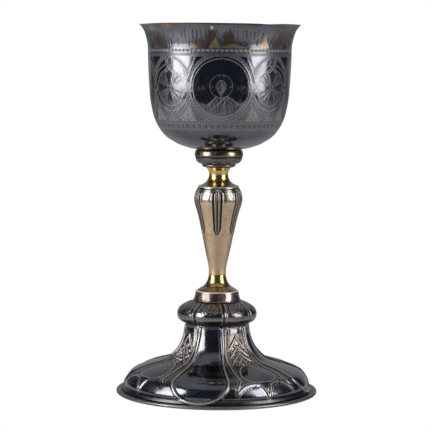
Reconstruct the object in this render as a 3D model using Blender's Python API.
# A silver and parcel-gilt chalice: a flared bowl on a knop, a fluted baluster between
# two gilt spools, and a lobed bell foot on a flat flange.
# The front is towards -Y. Angles about the axis are measured from the front and grow towards +X.
import bisect
import bpy
import bmesh
from math import atan2, cos, hypot, pi, radians, sin

MM = 0.001
FULL_TURN = 2 * pi
WELD = 0.001 * MM

# Clearance between one piece and the piece that stands on it
SEAT_GAP = 0.3 * MM

# Bell foot, with a short skirt that spreads under it
FOOT_HEIGHT = 50.5 * MM
FOOT_BELL_RADIUS = 70.2 * MM
FOOT_SKIRT_SPREAD = 1.6 * MM
FOOT_SKIRT_HEIGHT = 3.4 * MM
FOOT_SKIRT_RADIUS = FOOT_BELL_RADIUS + FOOT_SKIRT_SPREAD
FOOT_NECK_RADIUS = 24.0 * MM
FOOT_WALL = 1.3 * MM
FOOT_ROWS = 11

# Flat flange that the skirt stands on: its reach outside the skirt, and its seat under it
FLANGE_OVERHANG = 5.0 * MM
FLANGE_SEAT = 6.8 * MM
FLANGE_THICKNESS = 2.6 * MM
FLANGE_EDGE_ROUND = 1.0 * MM
FLANGE_COLUMNS = 40

# Plain pear-shaped lobes of the foot, outlined by a raised cord
LOBE_COUNT = 4
LOBE_TURN = radians(-11.5)
LOBE_SWELL = 1.0 * MM
LOBE_MIDWAY = 0.5
LOBE_MIDWAY_SWELL = 0.85
CORD_WIDTH = 1.9 * MM
CORD_HEIGHT = 0.9 * MM

# Ornate panels between the lobes: a strap near each side, knotwork, and an oval boss below it
STRAP_ANGLE = radians(17.0)
STRAP_WIDTH = 1.6 * MM
STRAP_HEIGHT = 0.6 * MM
KNOT_HEIGHT = 0.5 * MM
OVAL_HALF_ANGLE = radians(15.0)
OVAL_INNER_RADIUS = 39.5 * MM
OVAL_OUTER_RADIUS = 63.0 * MM
OVAL_HEIGHT = 0.6 * MM

# Segmented shoulder ring on the neck of the foot
RING_HEIGHT = 16.7 * MM
RING_RADIUS = 30.4 * MM
RING_UNDER_LEDGE = 0.3 * MM
RING_TOP_LEDGE = 0.7 * MM
RING_SEGMENTS = 8
RING_GROOVE_DEPTH = 0.8 * MM
RING_GROOVE_WIDTH = 1.6 * MM
RING_SWELL = 0.3 * MM

# Small collar with a flared top
COLLAR_HEIGHT = 10.8 * MM
COLLAR_LOWER_RADIUS = 18.5 * MM
COLLAR_SHOULDER_RADIUS = 15.9 * MM
COLLAR_TOP_LEDGE = 0.4 * MM
COLLAR_COLUMNS = 24

# Gilt spools
LOWER_SPOOL_HEIGHT = 8.4 * MM
LOWER_SPOOL_FOOT_RADIUS = 10.2 * MM
LOWER_SPOOL_TOP_RADIUS = 6.5 * MM
UPPER_SPOOL_HEIGHT = 9.9 * MM
UPPER_SPOOL_FOOT_RADIUS = 8.9 * MM
UPPER_SPOOL_WAIST_RADIUS = 7.15 * MM
UPPER_SPOOL_TOP_RADIUS = 9.4 * MM
SPOOL_COLUMNS = 24

# Fluted baluster with a flared top
BALUSTER_BODY_HEIGHT = 66.7 * MM
BALUSTER_FLARE_HEIGHT = 4.5 * MM
BALUSTER_BELLY_RADIUS = 18.2 * MM
BALUSTER_EDGE_RADIUS = 15.4 * MM
FLUTE_COUNT = 6
FLUTE_TURN = radians(-4.0)
FLUTE_HALF_ANGLE = radians(12.3)
FLUTE_DEPTH = 1.1 * MM
FLUTE_POINT_HEIGHT = 30.0 * MM
FLUTE_TAPER_LENGTH = 12.0 * MM
FLUTE_RIM_HEIGHT = 0.3 * MM
PANEL_SWELL = 0.2 * MM
BALUSTER_ROWS = 9

# Knop under the bowl
KNOP_HEIGHT = 13.5 * MM
KNOP_RADIUS = 18.35 * MM
KNOP_TOP_RADIUS = 17.5 * MM
KNOP_LEDGE_RADIUS = 12.7 * MM
KNOP_LEDGE_HEIGHT = 2.2 * MM
KNOP_FOOT_LEDGE = 1.6 * MM
KNOP_CHAMFER = 0.6
KNOP_TURN_IN = 0.6
KNOP_TURN_RISE = 0.87
KNOP_COLUMNS = 24

# Hollow bowl
BOWL_HEIGHT = 94.0 * MM
BOWL_RIM_RADIUS = 61.4 * MM
BOWL_WALL_RADIUS = 54.1 * MM
BOWL_BASE_RADIUS = 15.0 * MM
BOWL_FLARE_HEIGHT = 20.0 * MM
BOWL_FLARE_POWER = 2.6
BOWL_WALL = 1.0 * MM
BOWL_COLUMNS = 48
BOWL_ROWS = 9
BOWL_FLARE_ROWS = 3
BOWL_INNER_ROWS = 6

# Where one piece stands on another, its radius follows its neighbour's
RING_UNDER_RADIUS = FOOT_NECK_RADIUS + RING_UNDER_LEDGE
RING_TOP_RADIUS = COLLAR_LOWER_RADIUS + RING_TOP_LEDGE
COLLAR_TOP_RADIUS = LOWER_SPOOL_FOOT_RADIUS + COLLAR_TOP_LEDGE
BALUSTER_FOOT_RADIUS = LOWER_SPOOL_TOP_RADIUS
KNOP_FOOT_RADIUS = UPPER_SPOOL_TOP_RADIUS + KNOP_FOOT_LEDGE

# Outlines of the free curves: (share of the way from the narrow radius to the wide one,
# share of the height)
BELL_LINE = ((0.97, 0.10), (0.90, 0.195), (0.74, 0.298), (0.47, 0.38), (0.27, 0.452),
             (0.16, 0.54), (0.085, 0.655), (0.035, 0.78), (0.01, 0.9))
RING_LINE = ((0.43, 0.06), (0.88, 0.22), (1.0, 0.43), (0.8, 0.63), (0.6, 0.8), (0.3, 0.91))
BALUSTER_LINE = ((0.012, 0.064), (0.105, 0.156), (0.224, 0.247), (0.432, 0.427), (0.644, 0.615),
                 (0.94, 0.798), (1.0, 0.865), (0.924, 0.934), (0.78, 0.98))
COLLAR_BAND_LINE = ((0.6, 0.264), (0.3, 0.561), (0.0, 0.66))
COLLAR_FLARE_LINE = ((0.8, 0.8), (0.25, 0.94))
KNOP_LINE = ((0.55, 0.11), (0.85, 0.3), (1.0, 0.6))
BOWL_LINE = ((0.4, 0.042), (0.54, 0.08), (0.664, 0.129), (0.788, 0.208), (0.862, 0.288),
             (0.907, 0.37), (0.955, 0.543), (0.982, 0.76))
# Places along the bell, from the skirt up, where its inner wall has a row
FOOT_INNER_PLACES = (0.0, 0.09, 0.27, 0.55, 0.64, 0.73, 0.82, 0.91)
# Half the width of a lobe in degrees, at shares of the foot's height
LOBE_OUTLINE = ((0.0, 5.0), (0.057, 10.0), (0.12, 14.0), (0.22, 18.0), (0.31, 19.0),
                (0.39, 18.0), (0.51, 20.0), (0.65, 19.7), (1.0, 17.0))

# Colours, (red, green, blue, roughness)
DARK_SILVER = (0.07, 0.08, 0.10, 0.22)
FLANGE_SILVER = (0.25, 0.23, 0.21, 0.35)
WARM_SILVER = (0.48, 0.38, 0.29, 0.30)
GILT = (0.72, 0.49, 0.16, 0.22)


def start_clean():
    for old in list(bpy.data.objects):
        bpy.data.objects.remove(old, do_unlink=True)


def metal(name, look):
    material = bpy.data.materials.new(name)
    material.use_nodes = True
    shader = material.node_tree.nodes["Principled BSDF"]
    shader.inputs["Base Color"].default_value = (look[0], look[1], look[2], 1.0)
    shader.inputs["Roughness"].default_value = look[3]
    shader.inputs["Metallic"].default_value = 1.0
    return material


def between(low, high, share):
    return low + (high - low) * share


def curve_point(points, k, t):
    """Point at t on span k of a Catmull-Rom curve through the points."""
    a = points[max(k - 1, 0)]
    b = points[k]
    c = points[k + 1]
    d = points[min(k + 2, len(points) - 1)]
    return tuple(
        0.5 * (2 * b[i] + (c[i] - a[i]) * t + (2 * a[i] - 5 * b[i] + 4 * c[i] - d[i]) * t * t
               + (3 * b[i] - a[i] - 3 * c[i] + d[i]) * t ** 3)
        for i in (0, 1))


def smooth_line(points, rows):
    """rows + 1 evenly spaced points on a smooth curve through the given ones."""
    fine = 12
    dense = [curve_point(points, k, step / fine) for k in range(len(points) - 1) for step in range(fine)]
    dense.append(tuple(points[-1]))
    run = [0.0]
    for one, two in zip(dense, dense[1:]):
        run.append(run[-1] + hypot(two[0] - one[0], two[1] - one[1]))
    samples = []
    for row in range(rows + 1):
        target = run[-1] * row / rows
        k = min(max(bisect.bisect_right(run, target) - 1, 0), len(dense) - 2)
        t = (target - run[k]) / (run[k + 1] - run[k])
        samples.append(tuple(between(dense[k][i], dense[k + 1][i], t) for i in (0, 1)))
    return samples


def normals_of(line):
    """Unit normals of a line of (radius, height) points, on the right of its run."""
    normals = []
    for i in range(len(line)):
        before = line[max(i - 1, 0)]
        after = line[min(i + 1, len(line) - 1)]
        size = hypot(after[0] - before[0], after[1] - before[1])
        normals.append(((after[1] - before[1]) / size, (before[0] - after[0]) / size))
    return normals


def offset(line, distance):
    return [(p[0] + n[0] * distance, p[1] + n[1] * distance) for p, n in zip(line, normals_of(line))]


def table_value(table, x):
    """Straight interpolation in a table of (x, value) pairs."""
    for (x0, v0), (x1, v1) in zip(table, table[1:]):
        if x <= x1:
            return between(v0, v1, max((x - x0) / (x1 - x0), 0.0))
    return table[-1][1]


def ease(t):
    t = min(max(t, 0.0), 1.0)
    return t * t * (3 - 2 * t)


def turn(outline, columns, closed=False):
    """Spin an outline of (radius, height) points round the Z axis."""
    bm = bmesh.new()
    verts = [bm.verts.new((0.0, -radius, height)) for radius, height in outline]
    edges = [bm.edges.new(pair) for pair in zip(verts, verts[1:])]
    if closed:
        edges.append(bm.edges.new((verts[-1], verts[0])))
    bmesh.ops.spin(bm, geom=verts + edges, cent=(0, 0, 0), axis=(0, 0, 1), angle=FULL_TURN,
                   steps=columns, use_merge=True)
    bmesh.ops.remove_doubles(bm, verts=bm.verts, dist=WELD)
    return bm


def place_points(bm, outline, columns, place):
    """Move each point to place(row of the outline, column) = (radius, height, angle)."""
    for vert in bm.verts:
        radius = hypot(vert.co.x, vert.co.y)
        if radius < WELD:
            continue
        height = vert.co.z
        column = round(atan2(vert.co.x, -vert.co.y) / FULL_TURN * columns) % columns
        row = min(range(len(outline)),
                  key=lambda i: hypot(outline[i][0] - radius, outline[i][1] - height))
        radius, height, angle = place(row, column)
        vert.co = (radius * sin(angle), -radius * cos(angle), height)


def finish(name, bm, height, material):
    """Make the solid an object at its height, with its faces turned outwards."""
    bmesh.ops.triangulate(bm, faces=bm.faces)
    bmesh.ops.recalc_face_normals(bm, faces=bm.faces)
    mesh = bpy.data.meshes.new(name)
    bm.to_mesh(mesh)
    bm.free()
    mesh.shade_smooth()
    mesh.set_sharp_from_angle(angle=radians(32))
    mesh.materials.append(material)
    item = bpy.data.objects.new(name, mesh)
    item.location.z = height
    bpy.context.scene.collection.objects.link(item)


def make_flange(height, material):
    middle = FLANGE_THICKNESS / 2
    hole = FOOT_SKIRT_RADIUS - FLANGE_SEAT
    flat = FOOT_SKIRT_RADIUS + FLANGE_OVERHANG - FLANGE_EDGE_ROUND
    edge = [(flat + FLANGE_EDGE_ROUND * cos(a), middle + middle * sin(a)) for a in (-pi / 4, 0.0, pi / 4)]
    outline = [(hole, 0.0), (flat, 0.0)] + edge
    outline += [(flat, FLANGE_THICKNESS), (hole, FLANGE_THICKNESS)]
    finish("base_flange", turn(outline, FLANGE_COLUMNS, closed=True), height, material)
    return height + FLANGE_THICKNESS


def bell_line(rows):
    """Side of the bell, from the top of the skirt up to the neck."""
    points = [(FOOT_BELL_RADIUS, FOOT_SKIRT_HEIGHT)]
    points += [(between(FOOT_NECK_RADIUS, FOOT_BELL_RADIUS, share),
                between(FOOT_SKIRT_HEIGHT, FOOT_HEIGHT, rise)) for share, rise in BELL_LINE]
    points += [(FOOT_NECK_RADIUS, FOOT_HEIGHT)]
    return smooth_line(points, rows)


def foot_columns(radius, height):
    """(angle, raise) of each column from one lobe's left cord to the next, at one row."""
    share = height / FOOT_HEIGHT
    lobe = radians(table_value(LOBE_OUTLINE, share))
    cord = CORD_WIDTH / 2 / radius
    strap = STRAP_WIDTH / 2 / radius
    swell = LOBE_SWELL * ease(share / 0.15) * ease((1 - share) / 0.4)
    cord_rise = CORD_HEIGHT * ease(share / 0.1) * ease((1 - share) / 0.05)
    strap_rise = STRAP_HEIGHT * ease((share - 0.1) / 0.1) * ease((1 - share) / 0.05)
    lobe_side = [(-lobe - cord, 0.0), (-lobe, cord_rise), (cord - lobe, 0.0),
                 (LOBE_MIDWAY * (cord - lobe), LOBE_MIDWAY_SWELL * swell)]
    lobe_part = lobe_side + [(0.0, swell)] + [(-a, rise) for a, rise in reversed(lobe_side)]
    panel_side = [(-STRAP_ANGLE - strap, 0.0), (-STRAP_ANGLE, strap_rise), (strap - STRAP_ANGLE, 0.0)]
    for column, angle in enumerate((-radians(10), -radians(5))):
        panel_side.append((angle, panel_rise(radius, angle, column)))
    middle = FULL_TURN / LOBE_COUNT / 2
    panel_part = panel_side + [(0.0, panel_rise(radius, 0.0, 2))]
    panel_part += [(-a, rise) for a, rise in reversed(panel_side)]
    return lobe_part + [(middle + a, rise) for a, rise in panel_part]


def panel_rise(radius, angle, column):
    """Height of the oval boss, or of the knotwork above it, in an ornate panel."""
    across = angle / OVAL_HALF_ANGLE
    middle = (OVAL_INNER_RADIUS + OVAL_OUTER_RADIUS) / 2
    along = (radius - middle) / (OVAL_OUTER_RADIUS - middle)
    if hypot(across, along) < 1.0:
        return OVAL_HEIGHT
    if FOOT_NECK_RADIUS * 1.03 < radius < OVAL_INNER_RADIUS:
        knot = (column + round((radius - FOOT_NECK_RADIUS) / (2 * KNOT_HEIGHT))) % 2
        return KNOT_HEIGHT * (1 - knot)
    return 0.0


def make_foot(height, material):
    outer = [(FOOT_SKIRT_RADIUS, 0.0)] + bell_line(FOOT_ROWS)
    wall = offset(bell_line(FOOT_ROWS), -FOOT_WALL)
    inner = [wall[round(place * FOOT_ROWS)] for place in reversed(FOOT_INNER_PLACES)]
    ceiling = FOOT_HEIGHT - FOOT_WALL
    outline = [(0.0, ceiling), (FOOT_NECK_RADIUS - FOOT_WALL, ceiling)] + inner
    outline.append((FOOT_SKIRT_RADIUS - FOOT_WALL, 0.0))
    first_outer = len(outline)
    outline += outer + [(0.0, FOOT_HEIGHT)]
    slots = len(foot_columns(FOOT_NECK_RADIUS, FOOT_HEIGHT))
    normals = normals_of(outer)

    def place(row, column):
        lobe, slot = divmod(column, slots)
        radius, rise = outline[row]
        angle, lift = foot_columns(max(radius, FOOT_NECK_RADIUS), rise)[slot]
        if first_outer <= row < first_outer + len(outer):
            out, up = normals[row - first_outer]
            radius += out * lift
            rise += up * lift
        return radius, rise, LOBE_TURN + lobe * FULL_TURN / LOBE_COUNT + angle

    columns = slots * LOBE_COUNT
    bm = turn(outline, columns)
    place_points(bm, outline, columns, place)
    finish("foot", bm, height, material)
    return height + FOOT_HEIGHT


def make_shoulder_ring(height, material):
    side = [(RING_UNDER_RADIUS, 0.0)]
    for share, rise in RING_LINE:
        low = RING_UNDER_RADIUS if rise < 0.5 else RING_TOP_RADIUS
        side.append((between(low, RING_RADIUS, share), RING_HEIGHT * rise))
    side.append((RING_TOP_RADIUS, RING_HEIGHT))
    outline = [(0.0, 0.0)] + side + [(0.0, RING_HEIGHT)]
    pitch = FULL_TURN / RING_SEGMENTS
    groove = RING_GROOVE_WIDTH / RING_RADIUS / 2
    across = ((-groove, 0.0), (0.0, -RING_GROOVE_DEPTH), (groove, 0.0),
              (pitch * 0.27, RING_SWELL * 0.8), (pitch * 0.5, RING_SWELL), (pitch * 0.73, RING_SWELL * 0.8))
    first = LOBE_TURN - pitch / 2

    def place(row, column):
        segment, slot = divmod(column, len(across))
        angle, lift = across[slot]
        radius, rise = outline[row]
        fade = ease((radius - RING_TOP_RADIUS) / (RING_RADIUS - RING_TOP_RADIUS) * 2)
        if 1 < row < len(side):
            radius += lift * fade
        return radius, rise, first + segment * pitch + angle

    columns = len(across) * RING_SEGMENTS
    bm = turn(outline, columns)
    place_points(bm, outline, columns, place)
    finish("shoulder_ring", bm, height, material)
    return height + RING_HEIGHT


def make_collar(height, material):
    """Tapered band with a rounded shoulder, and a hollow flare above it."""
    outline = [(0.0, 0.0), (COLLAR_LOWER_RADIUS, 0.0)]
    outline += [(between(COLLAR_SHOULDER_RADIUS, COLLAR_LOWER_RADIUS, share), COLLAR_HEIGHT * rise)
                for share, rise in COLLAR_BAND_LINE]
    outline += [(between(COLLAR_TOP_RADIUS, COLLAR_SHOULDER_RADIUS, share), COLLAR_HEIGHT * rise)
                for share, rise in COLLAR_FLARE_LINE]
    outline += [(COLLAR_TOP_RADIUS, COLLAR_HEIGHT), (0.0, COLLAR_HEIGHT)]
    finish("foot_collar", turn(outline, COLLAR_COLUMNS), height, material)
    return height + COLLAR_HEIGHT


def make_spool(name, side, rows, height, material):
    tall = side[-1][1]
    outline = [(0.0, 0.0)] + smooth_line(side, rows) + [(0.0, tall)]
    finish(name, turn(outline, SPOOL_COLUMNS), height, material)
    return height + tall


def make_lower_spool(height, material):
    drop = LOWER_SPOOL_FOOT_RADIUS - LOWER_SPOOL_TOP_RADIUS
    side = [(LOWER_SPOOL_FOOT_RADIUS, 0.0),
            (LOWER_SPOOL_TOP_RADIUS + drop * 0.52, LOWER_SPOOL_HEIGHT * 0.26),
            (LOWER_SPOOL_TOP_RADIUS + drop * 0.18, LOWER_SPOOL_HEIGHT * 0.63),
            (LOWER_SPOOL_TOP_RADIUS, LOWER_SPOOL_HEIGHT)]
    return make_spool("lower_spool", side, 5, height, material)


def make_upper_spool(height, material):
    side = [(UPPER_SPOOL_FOOT_RADIUS, 0.0),
            (between(UPPER_SPOOL_WAIST_RADIUS, UPPER_SPOOL_FOOT_RADIUS, 0.2), UPPER_SPOOL_HEIGHT * 0.26),
            (UPPER_SPOOL_WAIST_RADIUS, UPPER_SPOOL_HEIGHT * 0.45),
            (between(UPPER_SPOOL_WAIST_RADIUS, UPPER_SPOOL_TOP_RADIUS, 0.3), UPPER_SPOOL_HEIGHT * 0.76),
            (UPPER_SPOOL_TOP_RADIUS, UPPER_SPOOL_HEIGHT)]
    return make_spool("upper_spool", side, 6, height, material)


def flute_columns(height):
    """(angle, lift) of each column from one flute to the next, at one height."""
    open_share = ease((height - FLUTE_POINT_HEIGHT) / FLUTE_TAPER_LENGTH)
    half = FLUTE_HALF_ANGLE * (0.35 + 0.65 * open_share)
    pitch = FULL_TURN / FLUTE_COUNT
    depth = FLUTE_DEPTH * open_share
    flute = [(-half, FLUTE_RIM_HEIGHT * open_share), (-0.7 * half, -depth), (-0.35 * half, -0.3 * depth),
             (0.0, 0.0), (0.35 * half, -0.3 * depth), (0.7 * half, -depth), (half, FLUTE_RIM_HEIGHT * open_share)]
    swell = PANEL_SWELL * open_share
    panel = [(between(half, pitch - half, share), swell) for share in (0.25, 0.5, 0.75)]
    return flute + panel


def make_baluster(height, material):
    side = [(BALUSTER_FOOT_RADIUS, 0.0)]
    side += [(between(BALUSTER_FOOT_RADIUS, BALUSTER_BELLY_RADIUS, share), BALUSTER_BODY_HEIGHT * rise)
             for share, rise in BALUSTER_LINE]
    side.append((BALUSTER_EDGE_RADIUS, BALUSTER_BODY_HEIGHT))
    body = smooth_line(side, BALUSTER_ROWS)
    top = BALUSTER_BODY_HEIGHT + BALUSTER_FLARE_HEIGHT
    flare = [(between(UPPER_SPOOL_FOOT_RADIUS, BALUSTER_EDGE_RADIUS, 0.35),
              BALUSTER_BODY_HEIGHT + BALUSTER_FLARE_HEIGHT * 0.5), (UPPER_SPOOL_FOOT_RADIUS, top)]
    outline = [(0.0, 0.0)] + body + flare + [(0.0, top)]
    slots = len(flute_columns(0.0))
    normals = normals_of(body)

    def place(row, column):
        flute, slot = divmod(column, slots)
        radius, rise = outline[row]
        angle, lift = flute_columns(rise)[slot]
        if 1 <= row < len(body):
            out, up = normals[row - 1]
            radius += out * lift
            rise += up * lift
        return radius, rise, FLUTE_TURN + flute * FULL_TURN / FLUTE_COUNT + angle

    columns = slots * FLUTE_COUNT
    bm = turn(outline, columns)
    place_points(bm, outline, columns, place)
    finish("baluster", bm, height, material)
    return height + top


def make_knop(height, material):
    ledge = KNOP_LEDGE_HEIGHT
    rise = KNOP_HEIGHT - ledge
    lower = KNOP_RADIUS - KNOP_LEDGE_RADIUS
    outline = [(0.0, 0.0), (KNOP_FOOT_RADIUS, 0.0), (KNOP_LEDGE_RADIUS, ledge * KNOP_CHAMFER),
               (KNOP_LEDGE_RADIUS, ledge)]
    outline += [(KNOP_LEDGE_RADIUS + lower * share, ledge + rise * up) for share, up in KNOP_LINE]
    outline += [(between(KNOP_TOP_RADIUS, KNOP_RADIUS, KNOP_TURN_IN), ledge + rise * KNOP_TURN_RISE),
                (KNOP_TOP_RADIUS, KNOP_HEIGHT), (0.0, KNOP_HEIGHT)]
    finish("knop", turn(outline, KNOP_COLUMNS), height, material)
    return height + KNOP_HEIGHT


def bowl_side(rows, flare_rows):
    """Outer side of the bowl: a round bottom, a nearly straight wall and a flared lip."""
    wall_top = BOWL_HEIGHT - BOWL_FLARE_HEIGHT
    points = [(BOWL_BASE_RADIUS, 0.0)]
    points += [(between(BOWL_BASE_RADIUS, BOWL_WALL_RADIUS, share), wall_top * rise)
               for share, rise in BOWL_LINE]
    points.append((BOWL_WALL_RADIUS, wall_top))
    line = smooth_line(points, rows)
    for row in range(1, flare_rows + 1):
        t = row / flare_rows
        line.append((between(BOWL_WALL_RADIUS, BOWL_RIM_RADIUS, t ** BOWL_FLARE_POWER), wall_top + BOWL_FLARE_HEIGHT * t))
    return line


def make_bowl(height, material):
    outer = bowl_side(BOWL_ROWS, BOWL_FLARE_ROWS)
    inner = offset(bowl_side(BOWL_INNER_ROWS, BOWL_FLARE_ROWS), -BOWL_WALL)
    inner[0] = (inner[0][0], BOWL_WALL)
    inner[-1] = (BOWL_RIM_RADIUS - BOWL_WALL, BOWL_HEIGHT)
    outline = [(0.0, 0.0)] + outer + list(reversed(inner)) + [(0.0, BOWL_WALL)]
    finish("bowl", turn(outline, BOWL_COLUMNS), height, material)
    return height + BOWL_HEIGHT


def build():
    start_clean()
    dark = metal("dark_silver", DARK_SILVER)
    plain = metal("flange_silver", FLANGE_SILVER)
    warm = metal("warm_silver", WARM_SILVER)
    gilt = metal("gilt", GILT)
    steps = ((make_flange, plain), (make_foot, dark), (make_shoulder_ring, dark), (make_collar, warm),
             (make_lower_spool, gilt), (make_baluster, warm), (make_upper_spool, gilt), (make_knop, dark),
             (make_bowl, dark))
    top = -SEAT_GAP
    for make, material in steps:
        top = make(top + SEAT_GAP, material)


build()
